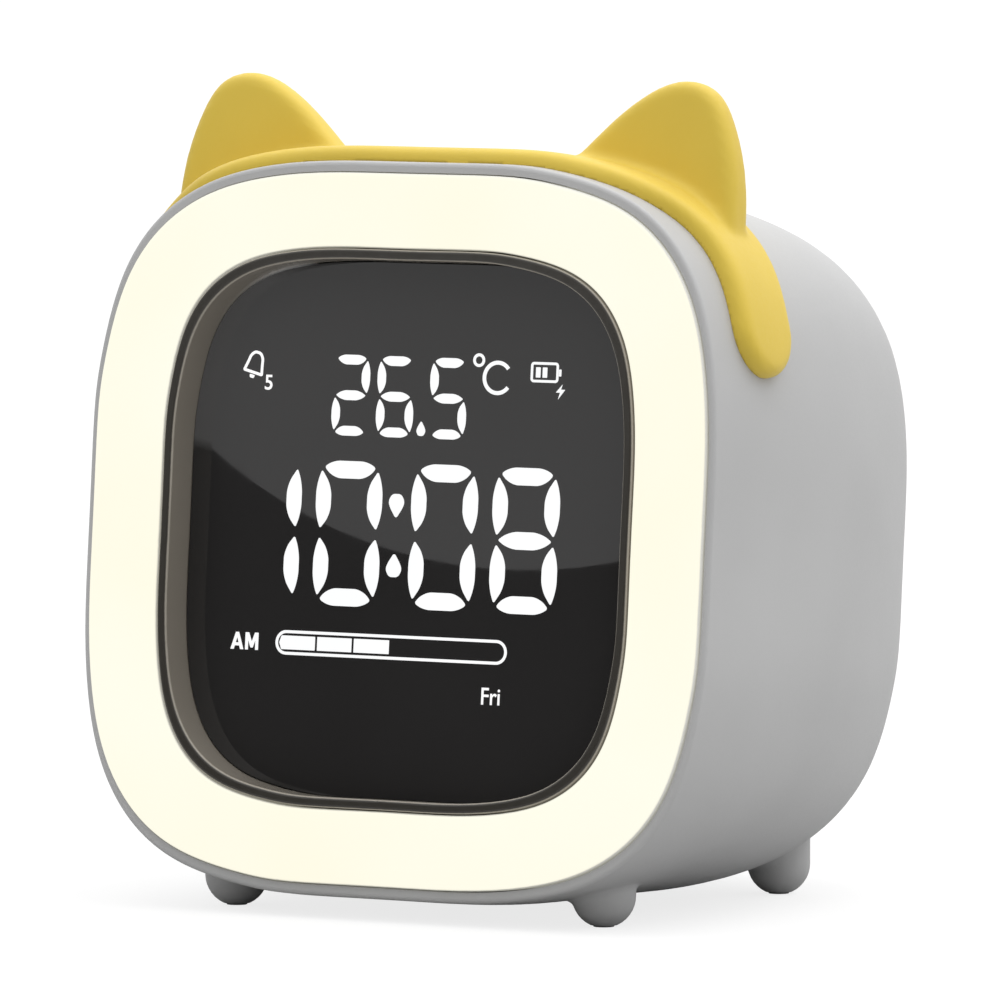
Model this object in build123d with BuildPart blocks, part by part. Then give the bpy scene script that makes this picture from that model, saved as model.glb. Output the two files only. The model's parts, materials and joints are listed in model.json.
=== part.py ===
"""Kids alarm clock with a ring night light and a cat-ear headband.

Millimetres, +Z up, front towards -Y, origin on the table under the middle of the clock.
Inside the clock, depth is counted back from the face plane and height up that leaning plane.
"""

import os
from math import asin, copysign, cos, hypot, pi, radians, sin, sqrt

from build123d import *

os.makedirs("parts", exist_ok=True)

# Stance on the table
lean = 5.24  # degrees that the whole clock leans back
face_height = 45.0  # middle of the face above the table

# Light ring, the flat cream frame of the face
ring_half_width = 40.5
ring_half_height = 41.0
ring_exponent = 3.55  # squareness of the ring and housing outlines
ring_setback = 0.3  # front of the ring behind the face plane
ring_thickness = 2.4
ring_edge_radius = 0.4
ring_rib = 1.5

# Housing
wall = 1.7
lip_setback = 0.9  # front edge of the housing behind that plane
lip_radius = 0.55
mouth_draw = (1.0, 0.5)  # how much that edge is drawn in, at the sides and at top and bottom
straight_depth = 12.0  # depth at which the sides begin to draw in
rounding_reach = 62.5  # further depth at which they would meet
rounding_power = 3.08
height_draw = 1.3  # how much lower the housing is behind its lip
draw_depth = 25.0
body_depth = 71.0
back_wall = 2.0
seam_depth = 60.5  # where the rear cover begins
seam_gap = 0.3  # shadow line round the rear cover
fit_gap = 0.15  # clearance between moulded pieces
quarter_points = 6
mouth_sections = 3
rounding_sections = 9
band_sections = 5

# Feet
foot_half_spread = 24.5
foot_front = 6.4  # behind the middle of the face
foot_rear = 48.5
foot_radius = 3.7
foot_flare = 1.0
foot_root = 14.0
pad_radius = 1.2
pad_thickness = 0.8
pad_proud = 0.2
pad_rim = 0.25

# Display recess
screen_half_width = 31.1
screen_half_height = 32.2
screen_exponent = 3.97
bezel_wall = 1.2
bezel_setback = 0.2
bezel_edge_radius = 0.35
lens_depth = 4.8
lens_thickness = 1.6
ledge_width = 1.5
ledge_thickness = 1.0
module_half_width = 26.0
module_half_height = 23.5
module_gap = 0.3
module_corner_radius = 1.0
shelf_thickness = 1.2

# Front carrier and ring light
carrier_wall = 1.2
carrier_floor = 1.8
light_box_depth = 7.7  # from the back of the ring to the carrier floor
ring_board_thickness = 1.2
led_count = 16
led_size = (3.5, 2.8, 0.8)
front_post_place = (29.6, 30.1)
front_post_length = 12.0

# Main board and battery
main_board_half_width = 33.0
main_board_half_height = 23.8
board_thickness = 1.6
main_boss_height = 2.0
main_boss_radius = 2.2
main_boss_place = (28.7, 18.0)
battery_width = 48.0
battery_height = 30.0
battery_thickness = 9.0
battery_middle = -8.0
battery_edge_radius = 2.0
tape_margin = 6.0
tape_thickness = 1.0
chip_row = 16.5
main_screw_bite = 5.0

# Headband and ears
band_thickness = 1.8
band_front = 3.0
band_rear = 18.2
band_middle = 11.35
band_end_radius = 5.65
band_end_height = 24.75
band_brow_height = 42.2  # below this the front edge bends back round the corner
band_corner = (5.2, 36.5)
band_shoulder_height = 35.0
band_edge_radius = 1.5
band_gap = 0.12
ear_height = 53.4  # tip above the middle of the face
ear_foot_height = 31.5
ear_outline = (
    (14.2, 42.6), (19.3, 47.5), (24.0, 51.2), (28.6, 52.9),
    (32.4, 52.0), (35.2, 47.8), (36.8, 41.5), (36.9, ear_foot_height),
)
ear_front_foot = 9.4
ear_front_tip = 11.7
ear_rear_foot = 15.0
ear_rear_tip = 15.1
ear_edge_radius = 1.5
ear_root_radius = 1.0
peg_radius = 1.5
peg_reach = 1.4  # inside the housing wall
band_margin = 4.0
top_peg_spread = 22.0
top_peg_depth = 14.2

# Rear cover fittings
rear_post_place = 23.5
rear_post_length = 12.0
post_radius = 3.2
rear_boss_radius = 3.7
screw_seat_depth = 63.5
spigot_depth = 2.2
spigot_overlap = 2.4
spigot_wall = 1.3
spigot_half_length = 15.0

# Buttons and switches
button_pitch = 8.0
button_height = -8.5
button_radius = 3.0
button_gap = 0.2
button_proud = 1.0
button_edge_radius = 0.5
button_flange_radius = 3.7
button_flange = 1.2
button_stem_radius = 1.5
button_travel = 0.8
switch_size = 6.0
switch_body = 3.4
plunger_radius = 1.65
plunger_rise = 1.1
plunger_sunk = 1.2
plunger_room = 0.3

# Button board, charging socket and temperature bead
button_board_depth = 60.4
button_board_half_width = 20.6
button_board_low = -19.8
button_board_high = -4.2
button_boss_radius = 2.2
button_boss_places = ((18.2, -6.5), (11.0, -17.0))
button_screw_bite = 5.0
usb_width = 8.94
usb_thickness = 3.26
usb_wall = 0.3
usb_height = -16.5
usb_setback = 0.4
usb_cut_gap = 0.28
usb_recess_margin = 1.7
usb_recess_depth = 0.8
tongue_width = 6.6
tongue_thickness = 0.7
tongue_setback = 0.7
tongue_base = 2.0
bead_radius = 1.1
bead_length = 2.0
bead_place = (-17.4, -12.2)

# Speaker
speaker_height = 9.0
speaker_radius = 12.0
gasket_thickness = 0.8
gasket_width = 1.8
basket_flange = 1.5
basket_shoulder_radius = 10.6
basket_base_radius = 8.5
basket_depth = 5.2
basket_wall = 0.9
magnet_radius = 7.0
magnet_length = 3.2
magnet_edge_radius = 0.4
cone_thickness = 0.3
cone_rim_radius = 9.5
cone_throat_radius = 3.6
cone_depth = 2.6
rib_wall = 1.0
rib_height = 3.4
sound_hole_radius = 0.9
sound_hole_pitch = 3.4
sound_hole_rings = 2

# Screws and wires
screw_radius = 1.1
screw_head_radius = 2.1
screw_head = 1.5
screw_gap = 0.1
screw_bite = 8.0
screw_tip_room = 1.0  # hole left beyond the tip of a screw
wire_radius = 0.6
wire_pitch = 3.0
wire_bend = 1.6
ribbon_width = 10.0
ribbon_thickness = 0.4
ribbon_bend = 8.0
socket_height = 2.5
socket_width = 13.0
socket_thickness = 3.6
ribbon_low = -12.0
ribbon_turn = 30.0
ribbon_run = 10.0
wire_gap = 0.4
lead_rise = 3.5
lead_loop = 2.8
battery_lead_x = 19.0

# Worked out from the sizes above
lean_sin = sin(radians(lean))
lean_cos = cos(radians(lean))
body_half_width = ring_half_width + fit_gap + wall
body_half_height = ring_half_height + fit_gap + wall


def body_half_sizes(depth, inset=0.0):
    """Half width and half height of the housing at a depth, inset from its outer surface."""
    closing = max(0.0, depth - straight_depth) / (rounding_reach - inset)
    share = (1 - closing**rounding_power) ** (1 / rounding_power)
    drawn = min(1.0, max(0.0, depth / draw_depth))
    draw = height_draw * sin(radians(90) * drawn) ** 2
    opening = 0.0
    if inset <= 0 and depth < straight_depth:
        opening = ((straight_depth - depth) / (straight_depth - lip_setback)) ** 2
    half_width = (body_half_width - mouth_draw[0] * opening - inset) * share
    half_height = (body_half_height - mouth_draw[1] * opening - draw - inset) * share
    return half_width, half_height


back_half_height = body_half_sizes(body_depth)[1]
front_reach = body_half_height * lean_sin
rear_reach = body_depth * lean_cos + back_half_height * lean_sin
face_setback = (front_reach - rear_reach) / 2

FACE = Plane(
    origin=(0, face_setback, face_height), x_dir=(1, 0, 0), z_dir=(0, -lean_cos, lean_sin)
)
SIDE = Plane(origin=FACE.origin, x_dir=-FACE.z_dir, z_dir=(1, 0, 0))
TOP = Plane(origin=FACE.origin, x_dir=(1, 0, 0), z_dir=FACE.y_dir)
TO_FRONT = Axis(FACE.origin, FACE.z_dir)

ring_back = ring_setback + ring_thickness
carrier_front = ring_back + light_box_depth
carrier_back = carrier_front + carrier_floor
ring_board_front = carrier_front - ring_board_thickness
main_board_front = carrier_back + main_boss_height
main_board_back = main_board_front + board_thickness
lens_back = lens_depth + lens_thickness
bezel_back = lens_back + ledge_thickness
inner_back = body_depth - back_wall
screw_hole = screw_radius + screw_gap
carrier_width = body_half_sizes(carrier_back, wall)[0] - fit_gap
carrier_height = body_half_sizes(carrier_back, wall)[1] - fit_gap
channel_width = carrier_width - carrier_wall
channel_height = carrier_height - carrier_wall
top_pegs = [(-top_peg_spread, top_peg_depth), (top_peg_spread, top_peg_depth)]
peg_bottom = body_half_height - height_draw - wall - 2 * peg_reach
side_peg_inner = body_half_sizes(band_middle, wall)[0] * (
    1 - ((band_end_height - peg_radius) / body_half_sizes(band_middle, wall)[1]) ** ring_exponent
) ** (1 / ring_exponent)
button_board_back = button_board_depth + board_thickness
switch_back = button_board_back + switch_body
plunger_back = switch_back + plunger_rise
plunger_well = plunger_sunk + button_travel + plunger_room
flange_front = inner_back - button_gap - button_flange
usb_mouth = body_depth - usb_setback
ring_inner_width = screen_half_width + fit_gap
ring_inner_height = screen_half_height + fit_gap
seat_width = ring_inner_width + carrier_wall
seat_height = ring_inner_height + carrier_wall
led_row_width = (seat_width + channel_width) / 2
led_row_height = (seat_height + channel_height) / 2
shelf_back = bezel_back + shelf_thickness
tape_back = main_board_back + tape_thickness
tab_width = body_half_sizes(seam_depth, wall)[0] - fit_gap
tab_height = body_half_sizes(seam_depth, wall)[1] - fit_gap
basket_mouth = inner_back - gasket_thickness
basket_floor = basket_mouth - basket_depth
cone_rim = basket_mouth - cone_thickness
battery_top = battery_middle + battery_height / 2
battery_lead_depth = tape_back + battery_thickness / 2
speaker_lead_top = speaker_height - (magnet_radius + basket_base_radius) / 2
ring_lead_places = [(led_row_width, -wire_pitch / 2), (led_row_width, wire_pitch / 2)]
button_names = ("mode", "up", "down", "light")
chips = (
    ((-17.0, chip_row), 9.0, 9.0, 1.5),
    ((14.0, chip_row + 3), 5.0, 4.0, 1.3),
    ((14.0, chip_row - 3), 8.0, 3.0, 2.6),
    ((-27.0, chip_row - 9), 5.0, 5.0, 6.0),
)
button_places = [(button_pitch * step, button_height) for step in (-1.5, -0.5, 0.5, 1.5)]
front_posts = [(x, y) for x in (-front_post_place[0], front_post_place[0])
               for y in (-front_post_place[1], front_post_place[1])]
rear_posts = [(x, y) for x in (-rear_post_place, rear_post_place)
              for y in (-rear_post_place, rear_post_place)]
main_bosses = [(x, y) for x in (-main_boss_place[0], main_boss_place[0])
               for y in (-main_boss_place[1], main_boss_place[1])]
button_bosses = [(side * x, y) for x, y in button_boss_places for side in (-1, 1)]


def at_depth(depth):
    """Plane parallel to the face at a depth behind it, looking to the front."""
    return FACE.offset(-depth)


def squircle(half_width, half_height, exponent, mode=Mode.ADD):
    """Fill a superellipse outline in the sketch that is open, as four smooth quarters."""
    with BuildLine() as outline:
        for quarter in range(4):
            points = []
            for step in range(quarter_points + 1):
                turn = radians(90) * (quarter + step / quarter_points)
                along, up = round(cos(turn), 9), round(sin(turn), 9)
                x = copysign(abs(along) ** (2 / exponent), along) * half_width
                y = copysign(abs(up) ** (2 / exponent), up) * half_height
                points.append((x, y))
            start = (-round(sin(radians(90) * quarter)), round(cos(radians(90) * quarter)))
            end = (-start[1], start[0])
            Spline(*points, tangents=(start, end))
    make_face(outline.edges(), mode=mode)


def squircle_block(back, length, half_width, half_height, exponent, mode=Mode.ADD):
    """Add or cut a straight squircle block that runs forward from a depth."""
    with BuildSketch(at_depth(back)) as outline:
        squircle(half_width, half_height, exponent)
    extrude(outline.sketch, amount=length, mode=mode)


def body_form(inset, depths):
    """Solid of the housing's outer form, inset, lofted through sections at the depths."""
    with BuildPart() as form:
        for depth in depths:
            with BuildSketch(at_depth(depth)):
                squircle(*body_half_sizes(depth, inset), ring_exponent)
        loft()
    return form.part


def housing_depths(inset, front, back):
    """Depths of the sections of the whole housing, closer together where it rounds off."""
    step = (straight_depth - front) / mouth_sections
    depths = [front + step * count for count in range(mouth_sections + 1)]
    reach = rounding_reach - inset
    end_turn = asin(((back - straight_depth) / reach) ** (rounding_power / 2))
    for step in range(1, rounding_sections + 1):
        turn = end_turn * step / rounding_sections
        depths.append(straight_depth + reach * sin(turn) ** (2 / rounding_power))
    return depths


def band_depths(margin):
    """Depths of the sections under and over the headband, with a margin on each side."""
    step = (band_rear - band_front + 2 * margin) / band_sections
    return [band_front - margin + step * count for count in range(band_sections + 1)]


def disc(places, back, length, radius, mode=Mode.ADD):
    """Add or cut round bosses, pins or holes that run forward from a depth."""
    with BuildSketch(at_depth(back)) as circles:
        with Locations(*places):
            Circle(radius)
    extrude(circles.sketch, amount=length, mode=mode)


def block(places, back, length, width, height, mode=Mode.ADD):
    """Add or cut rectangular blocks that run forward from a depth."""
    with BuildSketch(at_depth(back)) as rectangles:
        with Locations(*places):
            Rectangle(width, height)
    extrude(rectangles.sketch, amount=length, mode=mode)


def save(piece, name):
    piece.part.label = name
    export_step(piece.part, f"parts/{name}.step")


# Forms that several pieces share
outer_form = body_form(0, housing_depths(0, lip_setback, body_depth))
inner_form = body_form(wall, housing_depths(wall, -wall, inner_back))
trim_form = body_form(wall / 2, housing_depths(wall / 2, 0, inner_back + back_wall / 2))


def wall_posts(places, reach, back, length):
    """Screw posts that stand on ribs from the housing wall, trimmed to that wall."""
    with BuildPart() as posts:
        with BuildSketch(at_depth(back)):
            for x, y in places:
                slope = reach / hypot(x, y)
                with Locations((x * (1 + slope / 2), y * (1 + slope / 2))):
                    SlotCenterToCenter(reach, 2 * post_radius, rotation=45 if x * y > 0 else -45)
        extrude(amount=length)
        add(trim_form, mode=Mode.INTERSECT)
    return posts.part


front_post_solids = wall_posts(
    front_posts, post_radius, carrier_back + front_post_length, front_post_length
)
rear_post_solids = wall_posts(rear_posts, 2 * post_radius, seam_depth, rear_post_length)

# Main shell with its four moulded feet
foot_flat = pad_radius + fit_gap + pad_rim
foot_places = [(x, face_setback + y) for x in (-foot_half_spread, foot_half_spread)
               for y in (foot_front, foot_rear)]
with BuildPart() as foot:
    with BuildSketch(Plane.XZ):
        with BuildLine():
            dome_start = (foot_radius, pad_proud + sqrt(foot_radius**2 - foot_flat**2))
            dome_end = (foot_flat, pad_proud)
            Polyline(dome_end, (0, pad_proud), (0, foot_root), (foot_radius, foot_root), dome_start)
            RadiusArc(dome_start, dome_end, foot_radius)
        make_face()
    revolve(axis=Axis.Z)

with BuildPart() as main_shell:
    add(outer_form)
    fillet(main_shell.faces().sort_by(TO_FRONT)[-1].edges(), lip_radius)
    with Locations(*foot_places):
        add(foot.part)
    fillet(
        main_shell.faces().sort_by(SortBy.AREA)[-4:].edges().filter_by(
            lambda edge: edge.center().Z < foot_root / 2
            and abs(edge.center().X) > foot_half_spread / 2
        ),
        foot_flare,
    )
    add(inner_form, mode=Mode.SUBTRACT)
    split(bisect_by=at_depth(seam_depth), keep=Keep.TOP)
    add(front_post_solids)
    add(rear_post_solids)
    disc(front_posts, carrier_back + screw_bite, screw_bite, screw_hole, Mode.SUBTRACT)
    disc(rear_posts, seam_depth, screw_bite, screw_hole, Mode.SUBTRACT)
    with BuildSketch(Plane.XY):
        with Locations(*foot_places):
            Circle(pad_radius + fit_gap)
    extrude(amount=pad_thickness, mode=Mode.SUBTRACT)
    with BuildSketch(TOP.offset(peg_bottom)):
        with Locations(*top_pegs):
            Circle(peg_radius + fit_gap)
    extrude(amount=wall + 2 * peg_reach, mode=Mode.SUBTRACT)
    with BuildSketch(SIDE):
        with Locations((band_middle, band_end_height)):
            Circle(peg_radius + fit_gap)
    extrude(amount=2 * body_half_width, both=True, mode=Mode.SUBTRACT)
save(main_shell, "main_shell")

with BuildPart() as foot_pads:
    with BuildSketch(Plane.XY):
        with Locations(*foot_places):
            Circle(pad_radius)
    extrude(amount=pad_thickness)
save(foot_pads, "foot_pads")


# Headband: a strip of skin over the housing with two ears
def ear(side):
    """One ear: its outline from the front, thinned towards the tip, with round rims."""
    with BuildPart() as piece:
        with BuildSketch(at_depth(ear_rear_foot)):
            with BuildLine():
                points = [(side * x, y) for x, y in ear_outline]
                Spline(*points)
                Line(points[-1], points[0])
            make_face()
        extrude(amount=ear_rear_foot - ear_front_foot)
        with BuildSketch(SIDE):
            with BuildLine():
                Polyline(
                    (ear_front_foot, ear_foot_height),
                    (ear_front_tip, ear_height),
                    (ear_rear_tip, ear_height),
                    (ear_rear_foot, ear_foot_height),
                    close=True,
                )
            make_face()
        extrude(amount=2 * body_half_width, both=True, mode=Mode.INTERSECT)
        rims = piece.faces().sort_by(TO_FRONT)
        fillet(rims[0].edges() + rims[-1].edges(), ear_edge_radius)
    return piece.part


ears = [ear(side) for side in (-1, 1)]
band_form = body_form(-band_thickness, band_depths(band_margin))
under_band = body_form(-band_gap, band_depths(2 * band_margin))
with BuildPart() as ear_headband:
    with BuildSketch(SIDE.offset(-2 * body_half_width)):
        with BuildLine():
            front_end = (band_middle - band_end_radius, band_end_height)
            rear_end = (band_middle + band_end_radius, band_end_height)
            brow = (band_front, band_brow_height)
            rear_shoulder = (band_rear, band_shoulder_height)
            ThreePointArc(front_end, (band_middle, band_end_height - band_end_radius), rear_end)
            Spline(rear_end, rear_shoulder, tangents=((0, 1), (0, 1)))
            Polyline(
                rear_shoulder, (band_rear, ear_height), (band_front, ear_height), brow
            )
            Spline(brow, band_corner, front_end, tangents=((0, -1), (0, -1)))
        make_face()
    extrude(amount=4 * body_half_width)
    add(band_form, mode=Mode.INTERSECT)
    fillet(ear_headband.faces().filter_by(GeomType.BSPLINE).edges(), band_edge_radius)
    add(ears)
    fillet(ear_headband.edges(Select.NEW), ear_root_radius)
    add(under_band, mode=Mode.SUBTRACT)
    with BuildSketch(TOP.offset(peg_bottom)):
        with Locations(*top_pegs):
            Circle(peg_radius)
    extrude(amount=wall + 2 * peg_reach)
    for side in (-1, 1):
        with BuildSketch(SIDE.offset(side * side_peg_inner)):
            with Locations((band_middle, band_end_height)):
                Circle(peg_radius)
        extrude(amount=side * (wall + band_thickness / 2))
save(ear_headband, "ear_headband")

# Light ring: cream diffuser with a rib that drops inside the carrier
with BuildPart() as light_ring:
    squircle_block(ring_back, ring_thickness, ring_half_width, ring_half_height, ring_exponent)
    squircle_block(
        ring_back, ring_thickness, ring_inner_width, ring_inner_height, screen_exponent, Mode.SUBTRACT
    )
    fillet(light_ring.faces().sort_by(TO_FRONT)[-1].edges(), ring_edge_radius)
    squircle_block(ring_back + ring_rib, ring_rib, channel_width - fit_gap, channel_height - fit_gap,
                   ring_exponent)
    squircle_block(
        ring_back + ring_rib, ring_rib + ring_thickness / 2,
        channel_width - fit_gap - carrier_wall, channel_height - fit_gap - carrier_wall,
        ring_exponent, Mode.SUBTRACT,
    )
save(light_ring, "light_ring")

# Front carrier: light channel round a seat for the display
with BuildPart() as front_carrier:
    squircle_block(carrier_back, carrier_back - ring_back, carrier_width, carrier_height, ring_exponent)
    squircle_block(
        carrier_front, light_box_depth, channel_width, channel_height, ring_exponent, Mode.SUBTRACT
    )
    squircle_block(carrier_back, carrier_back - ring_back, seat_width, seat_height, screen_exponent)
    squircle_block(
        bezel_back, bezel_back - ring_back, ring_inner_width, ring_inner_height, screen_exponent,
        Mode.SUBTRACT,
    )
    squircle_block(
        carrier_back, carrier_back - shelf_back, ring_inner_width, ring_inner_height, screen_exponent,
        Mode.SUBTRACT,
    )
    disc(main_bosses, main_board_front, main_board_front - shelf_back, main_boss_radius)
    block([(0, 0)], main_board_front, main_board_front, 2 * (module_half_width + module_gap),
          2 * (module_half_height + module_gap), Mode.SUBTRACT)
    disc(main_bosses, main_board_front, main_screw_bite, screw_hole, Mode.SUBTRACT)
    disc(front_posts, carrier_back, carrier_floor, screw_hole, Mode.SUBTRACT)
    disc(ring_lead_places, carrier_back, carrier_floor, wire_radius + wire_gap, Mode.SUBTRACT)
save(front_carrier, "front_carrier")

# Ring light board and its light-emitting diodes
with BuildPart() as ring_light_board:
    squircle_block(carrier_front, ring_board_thickness, channel_width - fit_gap,
                   channel_height - fit_gap, ring_exponent)
    squircle_block(
        carrier_front, ring_board_thickness, seat_width + fit_gap, seat_height + fit_gap,
        screen_exponent, Mode.SUBTRACT,
    )
    disc(front_posts, carrier_front, ring_board_thickness, screw_hole, Mode.SUBTRACT)
save(ring_light_board, "ring_light_board")

with BuildPart() as ring_leds:
    with BuildSketch(at_depth(ring_board_front)):
        for count in range(led_count):
            turn = 2 * pi * (count + 0.5) / led_count
            spread = (abs(cos(turn)) ** ring_exponent + abs(sin(turn)) ** ring_exponent) ** (
                -1 / ring_exponent
            )
            with Locations((led_row_width * spread * cos(turn), led_row_height * spread * sin(turn))):
                Rectangle(led_size[0], led_size[1], rotation=90 * round(turn / radians(90)))
    extrude(amount=led_size[2])
save(ring_leds, "ring_leds")


def pan_screws(places, seat, length, heads_forward):
    """Pan-head screws; the heads stand on the seat and the shanks run the other way."""
    with BuildPart() as group:
        if heads_forward:
            disc(places, seat + length, length, screw_radius)
            disc(places, seat, screw_head, screw_head_radius)
        else:
            disc(places, seat, length, screw_radius)
            disc(places, seat + screw_head, screw_head, screw_head_radius)
    return group


carrier_screws = pan_screws(
    front_posts, ring_board_front, carrier_back - ring_board_front + screw_bite - screw_tip_room, True
)
save(carrier_screws, "carrier_screws")

# Dark insert that lines the recess, with a ledge that carries the lens
with BuildPart() as screen_bezel:
    squircle_block(
        bezel_back, bezel_back - bezel_setback, screen_half_width, screen_half_height, screen_exponent
    )
    squircle_block(
        lens_back, lens_back - bezel_setback, screen_half_width - bezel_wall,
        screen_half_height - bezel_wall, screen_exponent, Mode.SUBTRACT,
    )
    squircle_block(
        bezel_back, ledge_thickness, screen_half_width - bezel_wall - ledge_width,
        screen_half_height - bezel_wall - ledge_width, screen_exponent, Mode.SUBTRACT,
    )
    fillet(screen_bezel.faces().sort_by(TO_FRONT)[-1].edges(), bezel_edge_radius)
save(screen_bezel, "screen_bezel")

with BuildPart() as display_lens:
    squircle_block(
        lens_back, lens_thickness, screen_half_width - bezel_wall - fit_gap,
        screen_half_height - bezel_wall - fit_gap, screen_exponent,
    )
save(display_lens, "display_lens")

with BuildPart() as display_module:
    block([(0, 0)], main_board_front, main_board_front - bezel_back - module_gap,
          2 * module_half_width, 2 * module_half_height)
    fillet(display_module.edges().filter_by(Axis(FACE.origin, FACE.z_dir)), module_corner_radius)
save(display_module, "display_module")

# Main board with its chips, screws and flat rechargeable cell
with BuildPart() as main_board:
    block([(0, 0)], main_board_back, board_thickness, 2 * main_board_half_width,
          2 * main_board_half_height)
    disc(main_bosses, main_board_back, board_thickness, screw_hole, Mode.SUBTRACT)
save(main_board, "main_board")

main_board_screws = pan_screws(
    main_bosses, main_board_back, board_thickness + main_screw_bite - screw_tip_room, False
)
save(main_board_screws, "main_board_screws")

with BuildPart() as main_board_chips:
    for place, width, height, thickness in chips:
        block([place], main_board_back + thickness, thickness, width, height)
save(main_board_chips, "main_board_chips")

with BuildPart() as battery_tape:
    block([(0, battery_middle)], tape_back, tape_thickness, battery_width - tape_margin,
          battery_height - tape_margin)
save(battery_tape, "battery_tape")

with BuildPart() as battery_cell:
    block([(0, battery_middle)], tape_back + battery_thickness, battery_thickness, battery_width,
          battery_height)
    fillet(battery_cell.edges().filter_by(Axis.X), battery_edge_radius)
save(battery_cell, "battery_cell")


# Rear cover: domed back with tabs, bosses, sound holes, button holes and charging cut-out
with BuildPart() as cover_tabs:
    tab_length = spigot_depth + spigot_overlap
    squircle_block(seam_depth + spigot_overlap, tab_length, tab_width, tab_height, ring_exponent)
    squircle_block(
        seam_depth + spigot_overlap, tab_length, tab_width - spigot_wall, tab_height - spigot_wall,
        ring_exponent, Mode.SUBTRACT,
    )
    with BuildSketch(at_depth(seam_depth + spigot_overlap)):
        Rectangle(2 * spigot_half_length, 2 * body_half_height)
        Rectangle(2 * body_half_width, 2 * spigot_half_length)
    extrude(amount=tab_length, mode=Mode.INTERSECT)
    add(trim_form, mode=Mode.INTERSECT)

with BuildPart() as cover_bosses:
    disc(rear_posts, body_depth, body_depth - seam_depth, rear_boss_radius)
    add(trim_form, mode=Mode.INTERSECT)

with BuildPart() as rear_cover:
    add(outer_form)
    add(inner_form, mode=Mode.SUBTRACT)
    split(bisect_by=at_depth(seam_depth + seam_gap), keep=Keep.BOTTOM)
    add(cover_tabs.part)
    add(cover_bosses.part)
    disc(button_bosses, inner_back, inner_back - button_board_back, button_boss_radius)
    disc([(0, speaker_height)], inner_back, rib_height, speaker_radius + fit_gap + rib_wall)
    disc([(0, speaker_height)], inner_back, rib_height, speaker_radius + fit_gap, Mode.SUBTRACT)
    disc(rear_posts, body_depth, body_depth - screw_seat_depth, screw_head_radius + screw_gap,
         Mode.SUBTRACT)
    disc(rear_posts, body_depth, body_depth - seam_depth, screw_hole, Mode.SUBTRACT)
    disc(button_bosses, button_board_back + button_screw_bite, button_screw_bite, screw_hole,
         Mode.SUBTRACT)
    disc(button_places, body_depth, back_wall, button_radius + button_gap, Mode.SUBTRACT)
    with BuildSketch(at_depth(body_depth)):
        with Locations((0, usb_height)):
            SlotOverall(usb_width + 2 * usb_cut_gap, usb_thickness + 2 * usb_cut_gap)
    extrude(amount=back_wall, mode=Mode.SUBTRACT)
    with BuildSketch(at_depth(body_depth)):
        with Locations((0, usb_height)):
            SlotOverall(usb_width + 2 * usb_recess_margin, usb_thickness + 2 * usb_recess_margin)
    extrude(amount=usb_recess_depth, mode=Mode.SUBTRACT)
    with BuildSketch(at_depth(body_depth)):
        with Locations((0, speaker_height)):
            Circle(sound_hole_radius)
            for ring in range(1, sound_hole_rings + 1):
                with PolarLocations(ring * sound_hole_pitch, 6 * ring):
                    Circle(sound_hole_radius)
    extrude(amount=back_wall, mode=Mode.SUBTRACT)
save(rear_cover, "rear_cover")

rear_cover_screws = pan_screws(
    rear_posts, screw_seat_depth, screw_seat_depth - seam_depth + screw_bite - screw_tip_room, False
)
save(rear_cover_screws, "rear_cover_screws")

# Button board with switches, charging socket and temperature bead
with BuildPart() as button_board:
    block([(0, (button_board_low + button_board_high) / 2)], button_board_back, board_thickness,
          2 * button_board_half_width, button_board_high - button_board_low)
    disc(button_bosses, button_board_back, board_thickness, screw_hole, Mode.SUBTRACT)
save(button_board, "button_board")

button_board_screws = pan_screws(
    button_bosses, button_board_depth, board_thickness + button_screw_bite - screw_tip_room, True
)
save(button_board_screws, "button_board_screws")

with BuildPart() as tact_switches:
    block(button_places, switch_back, switch_body, switch_size, switch_size)
    disc(button_places, switch_back, plunger_well, plunger_radius + button_gap, Mode.SUBTRACT)
save(tact_switches, "tact_switches")

for name, place in zip(button_names, button_places):
    with BuildPart() as button:
        disc([place], body_depth + button_proud, body_depth + button_proud - flange_front, button_radius)
        fillet(button.faces().sort_by(TO_FRONT)[0].edges(), button_edge_radius)
        disc([place], flange_front + button_flange, button_flange, button_flange_radius)
        disc([place], flange_front, flange_front - plunger_back, button_stem_radius)
    save(button, f"{name}_button")
    with BuildPart() as plunger:
        disc([place], plunger_back, plunger_rise + plunger_sunk, plunger_radius)
    save(plunger, f"{name}_plunger")

with BuildPart() as usb_shell:
    with BuildSketch(at_depth(usb_mouth)):
        with Locations((0, usb_height)):
            SlotOverall(usb_width, usb_thickness)
            SlotOverall(usb_width - 2 * usb_wall, usb_thickness - 2 * usb_wall, mode=Mode.SUBTRACT)
    extrude(amount=usb_mouth - button_board_back)
save(usb_shell, "usb_shell")

with BuildPart() as usb_tongue:
    with BuildSketch(at_depth(button_board_back + tongue_base)):
        with Locations((0, usb_height)):
            SlotOverall(usb_width - 2 * usb_wall - screw_gap, usb_thickness - 2 * usb_wall - screw_gap)
    extrude(amount=tongue_base)
    block([(0, usb_height)], usb_mouth - tongue_setback,
          usb_mouth - tongue_setback - button_board_back, tongue_width, tongue_thickness)
save(usb_tongue, "usb_tongue")

with BuildPart() as temperature_sensor:
    disc([bead_place], button_board_back + bead_length, bead_length, bead_radius)
    fillet(temperature_sensor.faces().sort_by(TO_FRONT)[0].edges(), bead_radius / 2)
save(temperature_sensor, "temperature_sensor")

# Speaker behind the sound holes
SPEAKER = Plane(origin=SIDE.from_local_coords((0, speaker_height, 0)), x_dir=SIDE.x_dir,
                z_dir=SIDE.z_dir)
SPEAKER_AXIS = Axis(SPEAKER.origin, SPEAKER.x_dir)

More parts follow.
